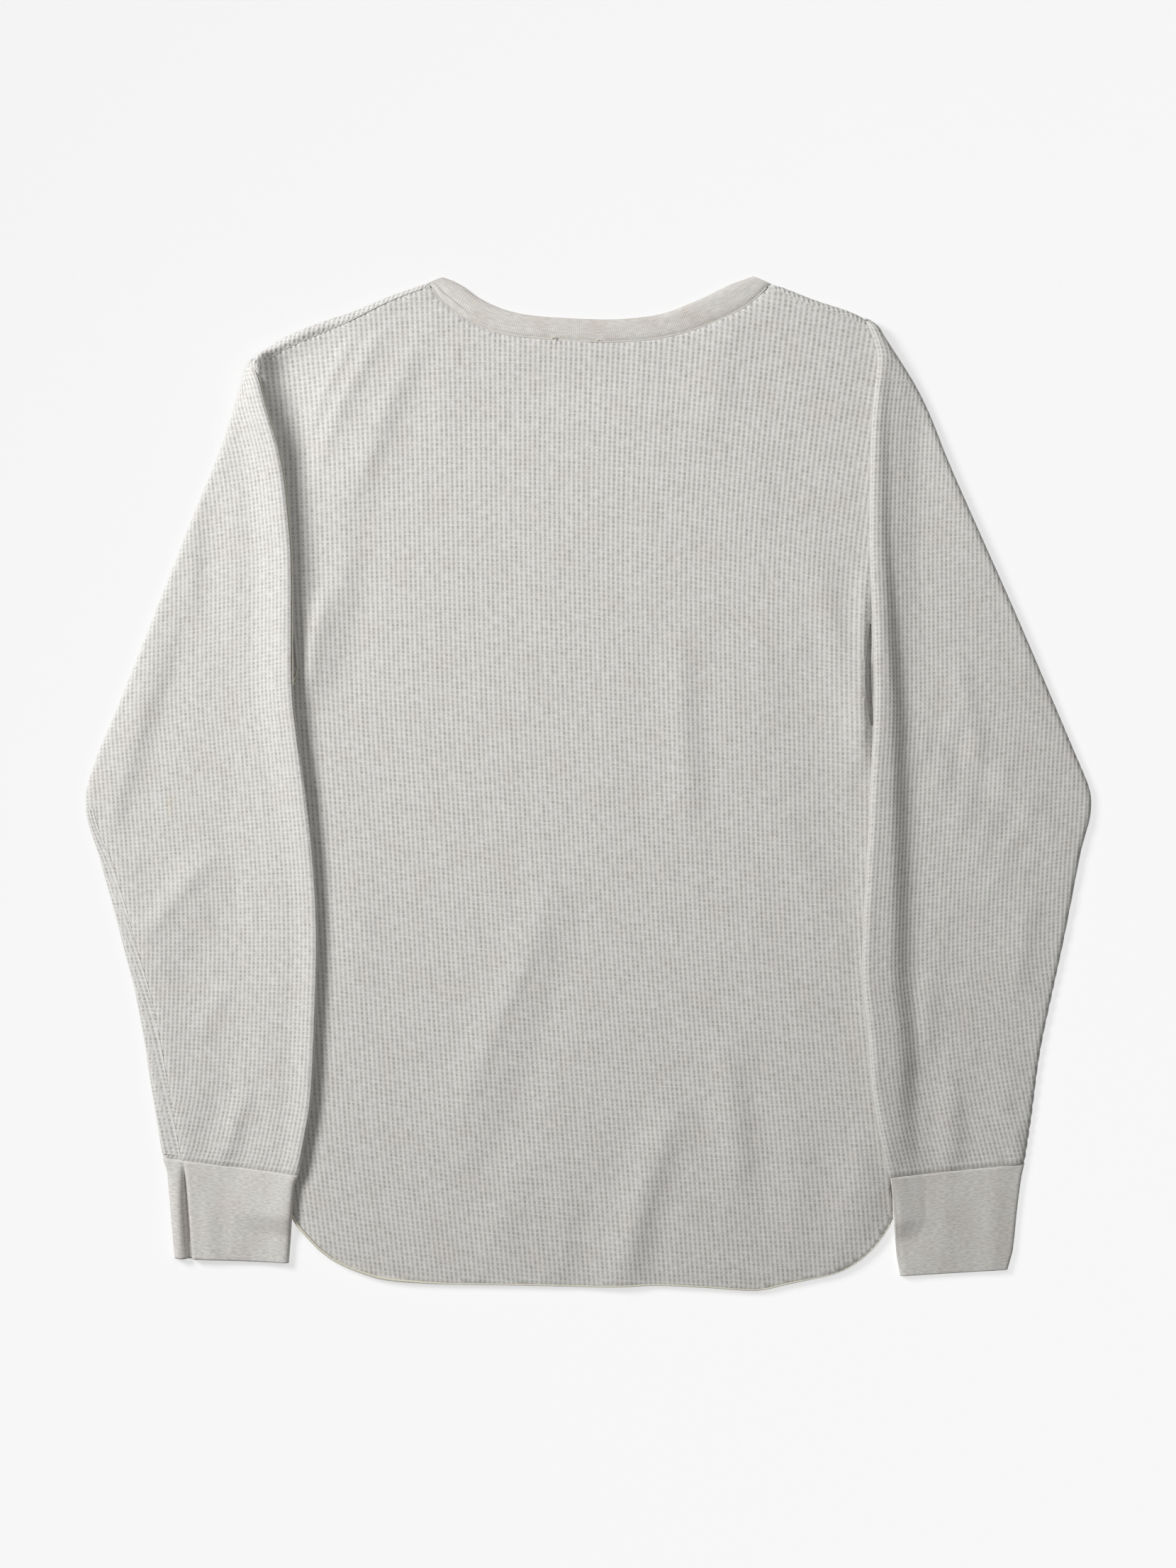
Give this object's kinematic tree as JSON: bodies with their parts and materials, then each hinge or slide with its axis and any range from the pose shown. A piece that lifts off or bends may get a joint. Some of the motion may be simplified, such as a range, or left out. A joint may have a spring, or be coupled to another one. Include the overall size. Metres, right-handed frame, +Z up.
{
  "type": "thermal top",
  "caption": "Long-sleeved crew-neck thermal top in pale grey heather waffle knit, with rib cuffs and neck band and a curved hem, laid flat on its front with its sleeves down.",
  "frame": {"origin": "on the surface the top lies on, in the middle of its outline", "axes": "+Z up through the back panel, +Y towards the neck, +X towards the wearer's right sleeve"},
  "size_m": [0.6762, 0.6798, 0.0105],
  "materials": {
    "waffle_knit": "heathered cotton waffle knit, matt, raised ribs round small square pits",
    "cuff_jersey": "marled cotton jersey, fine upright wales, matt",
    "band_rib": "marled fine cotton rib, matt"
  },
  "bodies": {
    "root": {"front_panel": "waffle_knit", "back_panel": "waffle_knit", "left_sleeve": "waffle_knit", "right_sleeve": "waffle_knit", "left_cuff": "cuff_jersey", "right_cuff": "cuff_jersey", "neck_band": "band_rib"}
  },
  "joints": []
}
